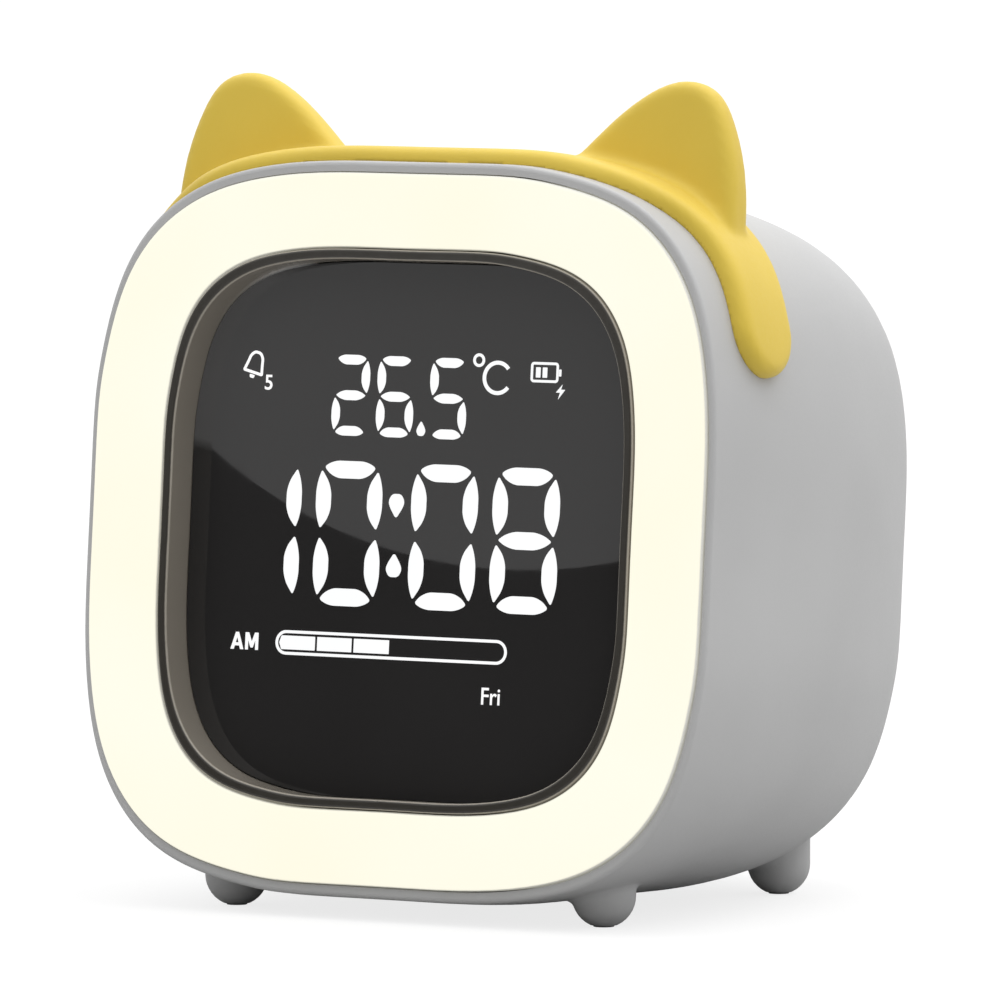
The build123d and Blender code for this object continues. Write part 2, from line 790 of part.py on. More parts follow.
with BuildPart() as speaker_gasket:
    with BuildSketch(at_depth(inner_back)):
        with Locations((0, speaker_height)):
            Circle(speaker_radius)
            Circle(speaker_radius - gasket_width, mode=Mode.SUBTRACT)
    extrude(amount=gasket_thickness)
save(speaker_gasket, "speaker_gasket")

with BuildPart() as speaker_basket:
    with BuildSketch(SPEAKER):
        with BuildLine():
            Polyline(
                (basket_mouth, speaker_radius),
                (basket_mouth - basket_flange, speaker_radius),
                (basket_mouth - basket_flange, basket_shoulder_radius),
                (basket_floor, basket_base_radius),
                (basket_floor, 0),
                (basket_floor + basket_wall, 0),
                (basket_floor + basket_wall, basket_base_radius - basket_wall),
                (basket_mouth - basket_flange, basket_shoulder_radius - basket_wall),
                (basket_mouth, speaker_radius - gasket_width),
                close=True,
            )
        make_face()
    revolve(axis=SPEAKER_AXIS)
save(speaker_basket, "speaker_basket")

with BuildPart() as speaker_magnet:
    disc([(0, speaker_height)], basket_floor, magnet_length, magnet_radius)
    fillet(speaker_magnet.faces().sort_by(TO_FRONT)[-1].edges(), magnet_edge_radius)
save(speaker_magnet, "speaker_magnet")

with BuildPart() as speaker_cone:
    with BuildSketch(SPEAKER):
        with BuildLine():
            Polyline(
                (cone_rim, cone_rim_radius),
                (cone_rim - cone_thickness, cone_rim_radius),
                (cone_rim - cone_depth, cone_throat_radius),
                (cone_rim - cone_depth, 0),
                (cone_rim - cone_depth + cone_thickness, 0),
                (cone_rim - cone_depth + cone_thickness, cone_throat_radius + cone_thickness),
                close=True,
            )
        make_face()
    revolve(axis=SPEAKER_AXIS)
save(speaker_cone, "speaker_cone")


# Leads and ribbon between the boards
def lead(points):
    """Round wire along straight runs with rounded corners, points as across, up and depth."""
    route = [FACE.from_local_coords((x, y, -depth)) for x, y, depth in points]
    with BuildPart() as wire:
        with BuildLine() as path:
            FilletPolyline(*route, radius=wire_bend)
        with BuildSketch(Plane(origin=path.line @ 0, z_dir=path.line % 0)):
            Circle(wire_radius)
        sweep(path=path.line)
    return wire.part


def lead_pair(wires):
    with BuildPart() as pair:
        add(wires)
    return pair


battery_leads = lead_pair([
    lead([
        (x, battery_top, battery_lead_depth),
        (x, battery_top + lead_rise, battery_lead_depth),
        (x, battery_top + lead_rise, main_board_back),
    ])
    for x in (battery_lead_x, battery_lead_x + wire_pitch)
])
save(battery_leads, "battery_leads")

ring_light_leads = lead_pair([
    lead([
        (x, y, carrier_front),
        (x, y, main_board_back + lead_loop),
        (main_boss_place[0], y, main_board_back + lead_loop),
        (main_boss_place[0], y, main_board_back),
    ])
    for x, y in ring_lead_places
])
save(ring_light_leads, "ring_light_leads")

speaker_leads = lead_pair([
    lead([
        (x, speaker_lead_top, basket_floor),
        (x, speaker_lead_top, button_board_depth - lead_loop),
        (x, button_board_high - lead_loop, button_board_depth - lead_loop),
        (x, button_board_high - lead_loop, button_board_depth),
    ])
    for x in (-wire_pitch / 2, wire_pitch / 2)
])
save(speaker_leads, "speaker_leads")

with BuildPart() as ribbon_sockets:
    block([(0, chip_row)], main_board_back + socket_height, socket_height, socket_width,
          socket_thickness)
    block([(0, ribbon_low)], button_board_depth, socket_height, socket_width, socket_thickness)
save(ribbon_sockets, "ribbon_sockets")

with BuildPart() as ribbon_cable:
    with BuildSketch(SIDE.offset(-ribbon_width / 2)):
        with BuildLine():
            FilletPolyline(
                (main_board_back + socket_height, chip_row),
                (ribbon_turn, chip_row),
                (button_board_depth - socket_height - ribbon_run, ribbon_low),
                (button_board_depth - socket_height, ribbon_low),
                radius=ribbon_bend,
            )
        trace(line_width=ribbon_thickness)
    extrude(amount=ribbon_width)
save(ribbon_cable, "ribbon_cable")
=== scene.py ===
"""Looks of a leaning bedside clock with a lit ring, a recessed display and a soft eared headband."""

import json
from math import cos, radians, sin

import bmesh
import bpy
from mathutils import Matrix, Vector
from mathutils.bvhtree import BVHTree


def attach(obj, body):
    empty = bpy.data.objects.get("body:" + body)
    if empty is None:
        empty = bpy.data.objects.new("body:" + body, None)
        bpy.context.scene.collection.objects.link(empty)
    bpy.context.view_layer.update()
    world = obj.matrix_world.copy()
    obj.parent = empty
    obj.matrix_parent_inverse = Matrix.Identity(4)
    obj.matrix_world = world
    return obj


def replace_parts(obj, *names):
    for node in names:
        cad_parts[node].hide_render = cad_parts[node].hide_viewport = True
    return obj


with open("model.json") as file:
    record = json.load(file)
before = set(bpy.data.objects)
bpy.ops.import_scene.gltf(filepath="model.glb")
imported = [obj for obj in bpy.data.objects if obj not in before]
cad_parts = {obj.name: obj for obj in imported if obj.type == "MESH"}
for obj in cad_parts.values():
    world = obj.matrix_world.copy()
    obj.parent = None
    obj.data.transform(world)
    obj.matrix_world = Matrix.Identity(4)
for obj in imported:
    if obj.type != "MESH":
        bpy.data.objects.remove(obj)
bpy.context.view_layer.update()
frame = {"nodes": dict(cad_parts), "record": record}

MM = 0.001
nodes = frame["nodes"]
scene = bpy.context.scene

# The leaning face, in millimetres
LEAN = radians(5.24)
FACE_CENTRE = Vector((0.0, -34.447, 45.0))
FACE_RIGHT = Vector((1.0, 0.0, 0.0))
FACE_UP = Vector((0.0, sin(LEAN), cos(LEAN)))
FACE_OUT = Vector((0.0, -cos(LEAN), sin(LEAN)))
LENS_DEPTH = 4.8
BODY_MIDDLE = 35.0

# Headband, in millimetres: its seat on the housing, and the grid and steps that melt its edges
SEAT_REACH = 0.3
SEAT_SQUARE = 0.5
SEAT_SINK = 1.0
SKIN_GRID = 0.4
MELT_SHARE = 0.5
MELT_STEPS = 7

# How near corners are joined, in millimetres, where a CAD mesh is split and where a cut leaves
# hairlines; and the angle from which an edge stays sharp
SPLIT_REACH = 0.001
HAIRLINE = 0.002
SHARP_ANGLE = radians(40.0)

# Crosses in the rear screws, in millimetres
SCREW_PLACE = 23.5
SCREW_TOP = 65.0
CROSS_ARM = 1.25
CROSS_WIDTH = 0.6
CROSS_DEPTH = 0.9

# The readout behind the lens, in millimetres on the lens
STROKE_ROUNDING = 1.15
TIP_ROUNDING = 0.22
STROKE_LIFT = 0.02
STROKE_BODY = 0.04
TIME_MIDDLE = -0.58
TIME_CENTRES = (-19.3, -8.5, 4.24, 15.03)
TIME_TEXT = "1008"
COLON_X = -2.15
COLON_WIDTH = 1.09
COLON_DROPS = ((4.23, 1.36), (-5.37, -2.55))
SMALL_SCALE = 0.558
SMALL_MIDDLE = 15.41
SMALL_CENTRES = (-8.9, -2.95, 4.08)
SMALL_TEXT = "265"
POINT_X = 0.65
POINT_WIDTH = 0.62
POINT_DROP = (11.01, 12.76)
DEGREE_PLACE = (7.96, 19.96)
DEGREE_RADIUS = 0.79
DEGREE_WALL = 0.34
LETTER_C_PLACE = (10.5, 18.0)
LETTER_C_RADIUS = 1.98
LETTER_C_WALL = 0.46
LETTER_C_GAP = (0.95, 1.15)
BAR_BLOCK_FOOT = -14.26
BAR_BLOCK_TOP = -12.66
BAR_BLOCKS = ((-11.9, -7.3), (-7.0, -2.3))
CHARGE_BLOCK_LEFTS = (15.52, 16.4)
CHARGE_BLOCK_WIDTH = 0.6
BELL_PLACE = (-21.95, 18.6, 0.0)
BELL_TILT = radians(-14.5)
LETTER_A_LEFT = -23.55
LETTER_M_LEFT = -21.58
LETTER_FOOT = -14.5

# Camera, in millimetres
CAMERA_PLACE = Vector((678.78, -1197.237, 144.27))
CAMERA_AZIMUTH = radians(29.74)
CAMERA_ELEVATION = radians(4.07)
CAMERA_LENS = 423.4
CAMERA_BACK = Vector((sin(CAMERA_AZIMUTH) * cos(CAMERA_ELEVATION),
                      -cos(CAMERA_AZIMUTH) * cos(CAMERA_ELEVATION), sin(CAMERA_ELEVATION)))
SENSOR = 36.0

# Studio: a tent that is brightest on one side, a soft key light, in metres, and a round light on a
# black flag. The lens mirrors these two. Their distance is in millimetres; their radius and offset
# are as they appear in the picture, in radians from the middle of the view. A painted reflection on
# the bezel's upper left wall, a glow that only mirrored rays see, makes the lens show that part of
# the recess as lit; its place is given in millimetres.
TENT_SIDE = (0.014, 0.219, 0.976)
TENT_SPAN = (-0.205, 1.0)
TENT_LEVEL = (0.0, 2.26)
KEY_PLACE = (0.35, 0.3, 1.1)
KEY_AIM = (0.0, 0.0, 0.05)
KEY_SIZE = 0.9
KEY_WATTS = 3.0
FLOOR_HALF = 6.0
FLOOR_TONE = 0.85
FLOOR_BOUNCE = 0.48
FLOOR_GLOW = 1.06
FLOOR_GLOW_SHARE = 0.75
DISH_DISTANCE = 1650.0
DISH_OFFSET = (0.0007, 0.0343)
DISH_RADIUS = 0.0402
DISH_GLOW = 0.9
# Painted reflection on the bezel's upper left wall: its glow to mirrored rays, and its place
PAINTED_REFLECTION_GLOW = 0.8
PAINTED_REFLECTION_HEIGHT = (53.2, 54.6)
PAINTED_REFLECTION_SIDE = (-22.0, -15.0)
FLAG_RADIUS = 0.12
FLAG_STEP = 20.0


def srgb(red, green, blue):
    """A colour given in display values from 0 to 255, as the linear values that a shader takes."""
    def linear(value):
        share = value / 255
        return share / 12.92 if share <= 0.04045 else ((share + 0.055) / 1.055) ** 2.4
    return (linear(red), linear(green), linear(blue), 1.0)


def empty_tree(owner):
    """The node tree of a material or a world, with nothing in it."""
    owner.use_nodes = True
    owner.node_tree.nodes.clear()
    return owner.node_tree


def settled_mesh(name, shape):
    """A new mesh from a shape that is done."""
    mesh = bpy.data.meshes.new(name)
    shape.to_mesh(mesh)
    shape.free()
    return mesh


# Shader groups

def new_group(name, inputs, outputs):
    """An empty shader group with named number inputs, given with their defaults, and named outputs."""
    group = bpy.data.node_groups.new(name, "ShaderNodeTree")
    for label, default in inputs.items():
        socket = group.interface.new_socket(label, in_out="INPUT", socket_type="NodeSocketFloat")
        socket.default_value = default
    for label, kind in outputs.items():
        group.interface.new_socket(label, in_out="OUTPUT", socket_type=kind)
    start = group.nodes.new("NodeGroupInput")
    end = group.nodes.new("NodeGroupOutput")
    return group, start, end


def moulded_grain_group():
    """Fine pits of a spark-eroded mould, with a slow drift of tone over the whole piece."""
    group, start, end = new_group(
        "moulded_grain",
        {"Grain Size": 2600.0, "Drift Size": 45.0},
        {"Grain": "NodeSocketFloat", "Drift": "NodeSocketFloat"},
    )
    make, link = group.nodes.new, group.links.new
    place = make("ShaderNodeTexCoord")
    grain = make("ShaderNodeTexNoise")
    grain.inputs["Detail"].default_value = 3.0
    drift = make("ShaderNodeTexNoise")
    drift.inputs["Detail"].default_value = 2.0
    link(place.outputs["Object"], grain.inputs["Vector"])
    link(place.outputs["Object"], drift.inputs["Vector"])
    link(start.outputs["Grain Size"], grain.inputs["Scale"])
    link(start.outputs["Drift Size"], drift.inputs["Scale"])
    link(grain.outputs["Fac"], end.inputs["Grain"])
    link(drift.outputs["Fac"], end.inputs["Drift"])
    return group


def facing_group():
    """How squarely a surface looks out of the clock's face: 1 for the face, 0 for a wall."""
    group, _, end = new_group("facing_front", {}, {"Facing": "NodeSocketFloat"})
    place = group.nodes.new("ShaderNodeTexCoord")
    square = group.nodes.new("ShaderNodeVectorMath")
    square.operation = "DOT_PRODUCT"
    square.inputs[1].default_value = FACE_OUT
    group.links.new(place.outputs["Normal"], square.inputs[0])
    group.links.new(square.outputs["Value"], end.inputs["Facing"])
    return group


MOULDED_GRAIN = moulded_grain_group()
FACING_FRONT = facing_group()


def new_finish(name):
    """A material with its surface shader and the grain group, ready to be joined up."""
    finish = bpy.data.materials.new(name)
    tree = empty_tree(finish)
    out = tree.nodes.new("ShaderNodeOutputMaterial")
    surface = tree.nodes.new("ShaderNodeBsdfPrincipled")
    tree.links.new(surface.outputs["BSDF"], out.inputs["Surface"])
    grain = tree.nodes.new("ShaderNodeGroup")
    grain.node_tree = MOULDED_GRAIN
    return finish, tree, surface, grain


def tone_ramp(tree, source, dark, light, low=0.35, high=0.65):
    """Colour that runs from dark to light as the source goes from low to high."""
    ramp = tree.nodes.new("ShaderNodeValToRGB")
    ramp.color_ramp.elements[0].position = low
    ramp.color_ramp.elements[0].color = dark
    ramp.color_ramp.elements[1].position = high
    ramp.color_ramp.elements[1].color = light
    tree.links.new(source, ramp.inputs["Fac"])
    return ramp.outputs["Color"]


def number_range(tree, source, low, high, start=0.3, end=0.7):
    """A number that runs from low to high as the source goes from start to end."""
    span = tree.nodes.new("ShaderNodeMapRange")
    span.inputs["From Min"].default_value = start
    span.inputs["From Max"].default_value = end
    span.inputs["To Min"].default_value = low
    span.inputs["To Max"].default_value = high
    tree.links.new(source, span.inputs["Value"])
    return span.outputs["Result"]


def moulded_finish(name, dark, light, rough, grain_size=2600.0, drift_size=45.0, height=0.00002,
                   metallic=0.0, strength=0.35):
    """A solid finish: two near tones, a roughness range and a fine relief."""
    finish, tree, surface, grain = new_finish(name)
    grain.inputs["Grain Size"].default_value = grain_size
    grain.inputs["Drift Size"].default_value = drift_size
    tree.links.new(tone_ramp(tree, grain.outputs["Drift"], dark, light), surface.inputs["Base Color"])
    tree.links.new(number_range(tree, grain.outputs["Grain"], *rough), surface.inputs["Roughness"])
    relief = tree.nodes.new("ShaderNodeBump")
    relief.inputs["Strength"].default_value = strength
    relief.inputs["Distance"].default_value = height
    tree.links.new(grain.outputs["Grain"], relief.inputs["Height"])
    tree.links.new(relief.outputs["Normal"], surface.inputs["Normal"])
    surface.inputs["Metallic"].default_value = metallic
    return finish, surface


def lit_finish(name, dark, light, glow, base):
    """A surface that gives its own light, a little uneven as a diffuser is, and that light's tone."""
    finish, tree, surface, grain = new_finish(name)
    grain.inputs["Grain Size"].default_value = 900.0
    grain.inputs["Drift Size"].default_value = 30.0
    tone = tone_ramp(tree, grain.outputs["Drift"], dark, light)
    tree.links.new(tone, surface.inputs["Emission Color"])
    tree.links.new(number_range(tree, grain.outputs["Grain"], 0.45, 0.6), surface.inputs["Roughness"])
    surface.inputs["Base Color"].default_value = base
    surface.inputs["Emission Strength"].default_value = glow
    return finish, surface, tone


def facing_front(tree):
    """The facing value of the surface, from its group."""
    facing = tree.nodes.new("ShaderNodeGroup")
    facing.node_tree = FACING_FRONT
    return facing.outputs["Facing"]


def ring_finish():
    """The diffuser: its flat front glows, its side walls only faintly."""
    front_tone = srgb(70, 69, 64)
    side_glow, front_glow = 0.2, 0.95
    turn_to_front = (0.5, 0.85)
    finish, surface, light = lit_finish(
        "ring_cream", srgb(255, 251, 230), srgb(255, 253, 236), 1.0, front_tone)
    tree = finish.node_tree
    facing = facing_front(tree)
    dimmed = tree.nodes.new("ShaderNodeVectorMath")
    dimmed.operation = "SCALE"
    glow = number_range(tree, facing, side_glow, front_glow, *turn_to_front)
    tone = tone_ramp(tree, facing, srgb(198, 198, 195), front_tone, *turn_to_front)
    tree.links.new(light, dimmed.inputs[0])
    tree.links.new(glow, dimmed.inputs["Scale"])
    tree.links.new(dimmed.outputs["Vector"], surface.inputs["Emission Color"])
    tree.links.new(tone, surface.inputs["Base Color"])
    return finish


def bezel_finish():
    """The insert round the display: dark front rim, a painted highlight as a light line on its edge,
    and inner walls painted paler as painted light on them.

    A painted reflection: mirrored rays alone meet its upper left wall as lit, so that the lens shows
    no dark band there.
    """
    finish, surface = moulded_finish(
        "bezel_dark", srgb(58, 54, 48), srgb(64, 60, 53), (0.16, 0.22), 900.0)
    tree = finish.node_tree
    make, link = tree.nodes.new, tree.links.new
    # Painted light: walls painted paler than the dark front rim, with a painted highlight line between
    wall = make("ShaderNodeValToRGB")
    stops = wall.color_ramp.elements
    stops[0].position = 0.1
    stops[0].color = srgb(150, 143, 132)
    stops[1].position = 0.9
    stops[1].color = srgb(58, 55, 50)
    painted_highlight_line = stops.new(0.6)
    painted_highlight_line.color = srgb(184, 177, 164)
    link(facing_front(tree), wall.inputs["Fac"])
    link(wall.outputs["Color"], surface.inputs["Base Color"])
    # Painted reflection: the upper left wall glows to mirrored rays alone
    place = make("ShaderNodeTexCoord")
    spot = make("ShaderNodeSeparateXYZ")
    path = make("ShaderNodeLightPath")
    painted_reflection_patch = make("ShaderNodeMath")
    painted_reflection_patch.operation = "MULTIPLY"
    painted_reflection = make("ShaderNodeMath")
    painted_reflection.operation = "MULTIPLY"
    link(place.outputs["Object"], spot.inputs["Vector"])
    low, high = (edge * MM for edge in PAINTED_REFLECTION_HEIGHT)
    upper = number_range(tree, spot.outputs["Z"], 0.0, PAINTED_REFLECTION_GLOW, low, high)
    outer, inner = (edge * MM for edge in PAINTED_REFLECTION_SIDE)
    left = number_range(tree, spot.outputs["X"], 1.0, 0.0, outer, inner)
    link(upper, painted_reflection_patch.inputs[0])
    link(left, painted_reflection_patch.inputs[1])
    link(painted_reflection_patch.outputs["Value"], painted_reflection.inputs[0])
    link(path.outputs["Is Glossy Ray"], painted_reflection.inputs[1])
    link(painted_reflection.outputs["Value"], surface.inputs["Emission Strength"])
    return finish


HOUSING_GREY = moulded_finish("housing_grey", srgb(187, 187, 187), srgb(191, 191, 191), (0.5, 0.62))[0]
KEY_GREY = moulded_finish("key_grey", srgb(166, 166, 166), srgb(172, 172, 172), (0.42, 0.55))[0]
SILICONE_YELLOW, silicone_surface = moulded_finish(
    "silicone_yellow", srgb(222, 192, 66), srgb(227, 197, 71), (0.5, 0.62), 1800.0, 60.0)
silicone_surface.inputs["Sheen Weight"].default_value = 0.12
silicone_surface.inputs["Sheen Roughness"].default_value = 0.5
RING_CREAM = ring_finish()
READOUT_WHITE = lit_finish(
    "readout_white", srgb(250, 251, 252), srgb(255, 255, 255), 1.0, srgb(40, 40, 40))[0]
BEZEL_DARK = bezel_finish()
LENS_BLACK = moulded_finish(
    "lens_black", srgb(46, 45, 45), srgb(49, 48, 48), (0.005, 0.015), 300.0, 30.0, strength=0.0)[0]

PLAIN_FINISHES = {
    "module_black": (srgb(26, 26, 26), srgb(31, 31, 31), (0.5, 0.6)),
    "carrier_white": (srgb(228, 228, 224), srgb(233, 233, 229), (0.5, 0.6)),
    "board_green": (srgb(28, 92, 48), srgb(36, 104, 56), (0.25, 0.35)),
    "led_yellow": (srgb(232, 206, 120), srgb(240, 218, 140), (0.2, 0.3)),
    "chip_black": (srgb(24, 24, 25), srgb(30, 30, 31), (0.45, 0.6)),
    "plunger_black": (srgb(28, 28, 28), srgb(34, 34, 34), (0.4, 0.5)),
    "connector_white": (srgb(236, 232, 216), srgb(241, 238, 224), (0.4, 0.5)),
    "ribbon_white": (srgb(226, 226, 222), srgb(234, 234, 230), (0.35, 0.45)),
    "tape_grey": (srgb(52, 52, 52), srgb(62, 62, 62), (0.8, 0.95)),
    "wire_red": (srgb(170, 34, 28), srgb(184, 40, 34), (0.3, 0.4)),
    "cone_paper": (srgb(44, 42, 40), srgb(54, 52, 49), (0.75, 0.9)),
    "pad_rubber": (srgb(150, 150, 150), srgb(158, 158, 158), (0.7, 0.85)),
}
METAL_FINISHES = {
    "screw_steel": (srgb(186, 186, 186), srgb(198, 198, 198), (0.25, 0.4)),
    "socket_steel": (srgb(196, 196, 196), srgb(208, 208, 208), (0.2, 0.35)),
    "cell_silver": (srgb(198, 198, 200), srgb(210, 210, 212), (0.3, 0.45)),
    "basket_steel": (srgb(160, 160, 160), srgb(174, 174, 174), (0.3, 0.45)),
    "magnet_dark": (srgb(90, 90, 92), srgb(102, 102, 104), (0.35, 0.5)),
}
finishes = {
    "housing_grey": HOUSING_GREY,
    "key_grey": KEY_GREY,
    "silicone_yellow": SILICONE_YELLOW,
    "ring_cream": RING_CREAM,
    "bezel_dark": BEZEL_DARK,
    "lens_black": LENS_BLACK,
}
for slot, (dark, light, rough) in PLAIN_FINISHES.items():
    finishes[slot] = moulded_finish(slot, dark, light, rough)[0]
for slot, (dark, light, rough) in METAL_FINISHES.items():
    finishes[slot] = moulded_finish(slot, dark, light, rough, metallic=1.0)[0]
for entry in frame["record"]["subparts"]:
    nodes[entry["node"]].data.materials.clear()
    nodes[entry["node"]].data.materials.append(finishes[entry["material_slot"]])


# Helpers for new pieces

def place_piece(name, mesh, finish, body):
    """A finished mesh as a piece that rides on a body."""
    mesh.materials.clear()
    mesh.materials.append(finish)
    piece = bpy.data.objects.new(name, mesh)
    scene.collection.objects.link(piece)
    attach(piece, body)
    return piece


def on_face(depth):
    """Puts a flat drawing in millimetres, x right, y up and z outward, at a depth behind the face."""
    origin = FACE_CENTRE - FACE_OUT * depth
    turn = Matrix((FACE_RIGHT, FACE_UP, FACE_OUT)).transposed().to_4x4()
    return Matrix.Scale(MM, 4) @ Matrix.Translation(origin) @ turn


# Pieces with finer shapes than their solids

def joined_copy(node):
    """A draft with a copy of a CAD mesh, its split corners joined."""
    mesh = nodes[node].data.copy()
    shape = bmesh.new()
    shape.from_mesh(mesh)
    bmesh.ops.remove_doubles(shape, verts=shape.verts, dist=SPLIT_REACH * MM)
    shape.to_mesh(mesh)
    shape.free()
    draft = bpy.data.objects.new(node + "_draft", mesh)
    scene.collection.objects.link(draft)
    return draft


def cut_away(draft, cutter):
    """Takes the shape of the cutter out of a draft."""
    cut = draft.modifiers.new("cut", "BOOLEAN")
    cut.operation = "DIFFERENCE"
    cut.solver = "EXACT"
    cut.object = cutter


def without_flaps(mesh):
    """Closes the hairlines that a cut leaves in a mesh and drops the tiny flaps on its edges."""
    shape = bmesh.new()
    shape.from_mesh(mesh)
    bmesh.ops.remove_doubles(shape, verts=shape.verts, dist=HAIRLINE * MM)
    bmesh.ops.triangulate(shape, faces=shape.faces)
    bmesh.ops.dissolve_degenerate(shape, edges=shape.edges, dist=HAIRLINE * MM)
    flaps = []
    for edge in shape.edges:
        flaps.extend(sorted(edge.link_faces, key=lambda face: face.calc_area())[:-2])
    bmesh.ops.delete(shape, geom=list(dict.fromkeys(flaps)), context="FACES")
    shape.to_mesh(mesh)
    shape.free()


def settled_piece(name, drafts, finish, node):
    """The first draft with its steps applied, as a piece in place of a CAD node; the drafts go."""
    settled = drafts[0].evaluated_get(bpy.context.evaluated_depsgraph_get())
    mesh = bpy.data.meshes.new_from_object(settled)
    mesh.name = name
    for draft in drafts:
        bpy.data.objects.remove(draft)
    without_flaps(mesh)
    mesh.polygons.foreach_set("use_smooth", [True] * len(mesh.polygons))
    mesh.set_sharp_from_angle(angle=SHARP_ANGLE)
    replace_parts(place_piece(name, mesh, finish, "housing"), node)


def soft_headband():
    """The headband with its edges and ear roots melted together, as a silicone moulding has.

    Its inner skin is first sunk into the housing and then cut off at the housing again, so that its
    edge runs cleanly along the housing.
    """
    housing = joined_copy("main_shell")
    band = joined_copy("ear_headband")
    seat = BVHTree.FromPolygons([v.co for v in housing.data.vertices],
                                [p.vertices for p in housing.data.polygons])
    heart = (FACE_CENTRE - FACE_OUT * BODY_MIDDLE) * MM
    for corner in band.data.vertices:
        _, out, _, gap = seat.find_nearest(corner.co)
        if gap < SEAT_REACH * MM and out.dot((corner.co - heart).normalized()) > SEAT_SQUARE:
            corner.co -= out * SEAT_SINK * MM
    even = band.modifiers.new("even_skin", "REMESH")
    even.mode = "VOXEL"
    even.voxel_size = SKIN_GRID * MM
    melt = band.modifiers.new("melted_edges", "SMOOTH")
    melt.factor = MELT_SHARE
    melt.iterations = MELT_STEPS
    cut_away(band, housing)
    settled_piece("headband_skin", (band, housing), SILICONE_YELLOW, "ear_headband")


def crossed_screws():
    """The four screws of the rear cover with a cross recess in each head."""
    screws = joined_copy("rear_cover_screws")
    shape = bmesh.new()
    long, wide = CROSS_ARM, CROSS_WIDTH / 2
    outline = (
        (long, -wide), (long, wide), (wide, wide), (wide, long), (-wide, long), (-wide, wide),
        (-long, wide), (-long, -wide), (-wide, -wide), (-wide, -long), (wide, -long), (wide, -wide),
    )
    for x in (-SCREW_PLACE, SCREW_PLACE):
        for y in (-SCREW_PLACE, SCREW_PLACE):
            corners = [shape.verts.new((x + right, y + up, -CROSS_DEPTH)) for right, up in outline]
            lid = shape.faces.new(corners)
            body = bmesh.ops.extrude_face_region(shape, geom=[lid])["geom"]
            bmesh.ops.translate(shape, vec=(0.0, 0.0, 2 * CROSS_DEPTH),
                                verts=[part for part in body if isinstance(part, bmesh.types.BMVert)])
    bmesh.ops.recalc_face_normals(shape, faces=shape.faces)
    bmesh.ops.transform(shape, matrix=on_face(SCREW_TOP), verts=shape.verts)
    cutter = bpy.data.objects.new("cross_cutter", settled_mesh("cross_cutter", shape))
    scene.collection.objects.link(cutter)
    cut_away(screws, cutter)
    settled_piece("crossed_screws", (screws, cutter), finishes["screw_steel"],
                  "rear_cover_screws")


soft_headband()
crossed_screws()


# Readout

def box(left, foot, right, top):
    """The corners of an upright oblong."""
    return (left, foot), (right, foot), (right, top), (left, top)


def plate(shape, corners, rounding, tips=()):
    """One flat stroke: a few corners, rounded; the corners named as tips stay tighter."""
    points = [shape.verts.new((x, y, 0.0)) for x, y in corners]
    shape.faces.new(points)
    sides = [point for count, point in enumerate(points) if count not in tips]
    bmesh.ops.bevel(shape, geom=[points[count] for count in tips], offset=TIP_ROUNDING * rounding,
                    segments=4, profile=0.5, affect="VERTICES", material=-1)
    bmesh.ops.bevel(shape, geom=sides, offset=rounding, segments=8, profile=0.5, affect="VERTICES",
                    material=-1)


def hollow(shape, face, wall):
    """Leaves only a rim of a flat face."""
    bmesh.ops.inset_region(shape, faces=[face], thickness=wall, use_boundary=True, use_even_offset=True)
    bmesh.ops.delete(shape, geom=[face], context="FACES")


def frame_plate(shape, corners, rounding, wall):
    """An outline: a rounded plate with its middle taken out."""
    before = set(shape.faces)
    plate(shape, corners, rounding)
    made = max((f for f in shape.faces if f not in before), key=lambda f: f.calc_area())
    hollow(shape, made, wall)


def round_sign(shape, place, radius, wall, segments):
    """A flat ring about a point."""
    corners = bmesh.ops.create_circle(shape, cap_ends=True, segments=segments, radius=radius,
                                      matrix=Matrix.Translation((*place, 0.0)))["verts"]
    hollow(shape, corners[0].link_faces[0], wall)


# Corner points of the strokes of one digit, in a cell 8.86 wide and 16.78 tall about its middle
UPRIGHT = ((3.75, 7.28), (4.43, 5.6), (4.43, 2.2), (3.75, 0.5), (2.42, 2.1), (2.42, 5.4))
CROWN = ((-3.4, 7.62), (-2.5, 8.39), (2.5, 8.39), (3.4, 7.62), (2.3, 6.36), (-2.3, 6.36))
MIDDLE = ((-3.55, 0.0), (-2.1, 1.02), (2.1, 1.02), (3.55, 0.0), (2.1, -1.02), (-2.1, -1.02))
STROKES = {
    "a": CROWN,
    "b": UPRIGHT,
    "c": tuple((x, -y) for x, y in UPRIGHT),
    "d": tuple((x, -y) for x, y in CROWN),
    "e": tuple((-x, -y) for x, y in UPRIGHT),
    "f": tuple((-x, y) for x, y in UPRIGHT),
    "g": MIDDLE,
}
LIT_STROKES = {"0": "abcdef", "1": "bc", "2": "abged", "5": "afgcd", "6": "afgcde", "8": "abcdefg"}
STROKE_TIPS = (0, 3)


def digit(shape, sign, centre, middle, scale):
    """The lit strokes of one digit."""
    for stroke in LIT_STROKES[sign]:
        corners = [(centre + x * scale, middle + y * scale) for x, y in STROKES[stroke]]
        plate(shape, corners, STROKE_ROUNDING * scale, STROKE_TIPS)


def drop(shape, x, round_end, point_end, half_width):
    """A drop: a round end that runs out to a point."""
    length = point_end - round_end
    plate(shape, (
        (x - 0.55 * half_width, round_end),
        (x + 0.55 * half_width, round_end),
        (x + half_width, round_end + 0.3 * length),
        (x + 0.78 * half_width, round_end + 0.55 * length),
        (x, point_end),
        (x - 0.78 * half_width, round_end + 0.55 * length),
        (x - half_width, round_end + 0.3 * length),
    ), 0.34 * half_width)


